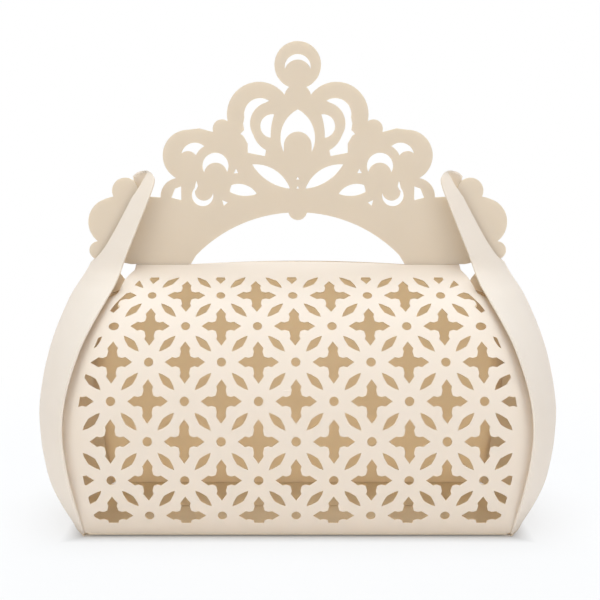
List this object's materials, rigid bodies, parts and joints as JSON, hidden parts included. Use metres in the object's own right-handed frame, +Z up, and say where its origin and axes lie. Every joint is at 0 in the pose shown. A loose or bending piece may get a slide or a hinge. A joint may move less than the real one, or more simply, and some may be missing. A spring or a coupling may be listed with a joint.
{
  "type": "paper gift box",
  "caption": "Pierced card favour box with bowed ends and a crown handle; its scored folds swing open once the slit ears slide off the crown ends.",
  "frame": {"origin": "middle of the underside of the base, on the table", "axes": "+X along the front fold to the viewer's right, +Y from the front wall to the back wall, +Z up to the crown"},
  "size_m": [0.1272, 0.0564, 0.116],
  "materials": {
    "pearl_card": "pearl cream card, soft sheen",
    "pierced_card": "pearl cream card, soft sheen, laser-cut edges",
    "crown_card": "pearl cream card, soft sheen, laser-cut edges",
    "scored_fold": "pearl cream card, pressed score",
    "glue": "dried white glue"
  },
  "bodies": {
    "base": {"base_panel": "pearl_card", "left_base_crease": "scored_fold", "right_base_crease": "scored_fold", "front_glue_line": "glue", "back_glue_line": "glue", "front_flap": "pearl_card", "back_flap": "pearl_card", "front_base_crease": "scored_fold", "back_base_crease": "scored_fold"},
    "left_end": {"left_end_panel": "pearl_card"},
    "right_end": {"right_end_panel": "pearl_card"},
    "front_side": {"front_wall": "pierced_card", "front_left_crown_crease": "scored_fold", "front_right_crown_crease": "scored_fold"},
    "back_side": {"back_wall": "pearl_card", "back_left_crown_crease": "scored_fold", "back_right_crown_crease": "scored_fold"},
    "front_handle": {"front_crown": "crown_card"},
    "back_handle": {"back_crown": "crown_card"}
  },
  "joints": [
    {"name": "left_end_fold", "type": "hinge", "parent": "base", "child": "left_end", "pos_m": [-0.057, 0, 0.00022], "axis": [0, -1, 0], "range_deg": [0, 40]},
    {"name": "right_end_fold", "type": "hinge", "parent": "base", "child": "right_end", "pos_m": [0.057, 0, 0.00022], "axis": [0, 1, 0], "range_deg": [0, 40]},
    {"name": "front_wall_fold", "type": "hinge", "parent": "base", "child": "front_side", "pos_m": [0, -0.0222, 0.0007], "axis": [1, 0, 0], "range_deg": [0, 6]},
    {"name": "back_wall_fold", "type": "hinge", "parent": "base", "child": "back_side", "pos_m": [0, 0.0222, 0.0007], "axis": [-1, 0, 0], "range_deg": [0, 6]},
    {"name": "front_crown_fold", "type": "hinge", "parent": "front_side", "child": "front_handle", "pos_m": [0, -0.00028, 0.06174], "axis": [-1, 0, 0], "range_deg": [0, 6]},
    {"name": "back_crown_fold", "type": "hinge", "parent": "back_side", "child": "back_handle", "pos_m": [0, 0.00028, 0.06174], "axis": [1, 0, 0], "range_deg": [0, 6]}
  ],
  "couplings": [
    {"joint": "right_end_fold", "follows": "left_end_fold", "ratio": 1},
    {"joint": "front_wall_fold", "follows": "left_end_fold", "ratio": 0.15},
    {"joint": "back_wall_fold", "follows": "left_end_fold", "ratio": 0.15},
    {"joint": "front_crown_fold", "follows": "left_end_fold", "ratio": 0.15},
    {"joint": "back_crown_fold", "follows": "left_end_fold", "ratio": 0.15}
  ]
}
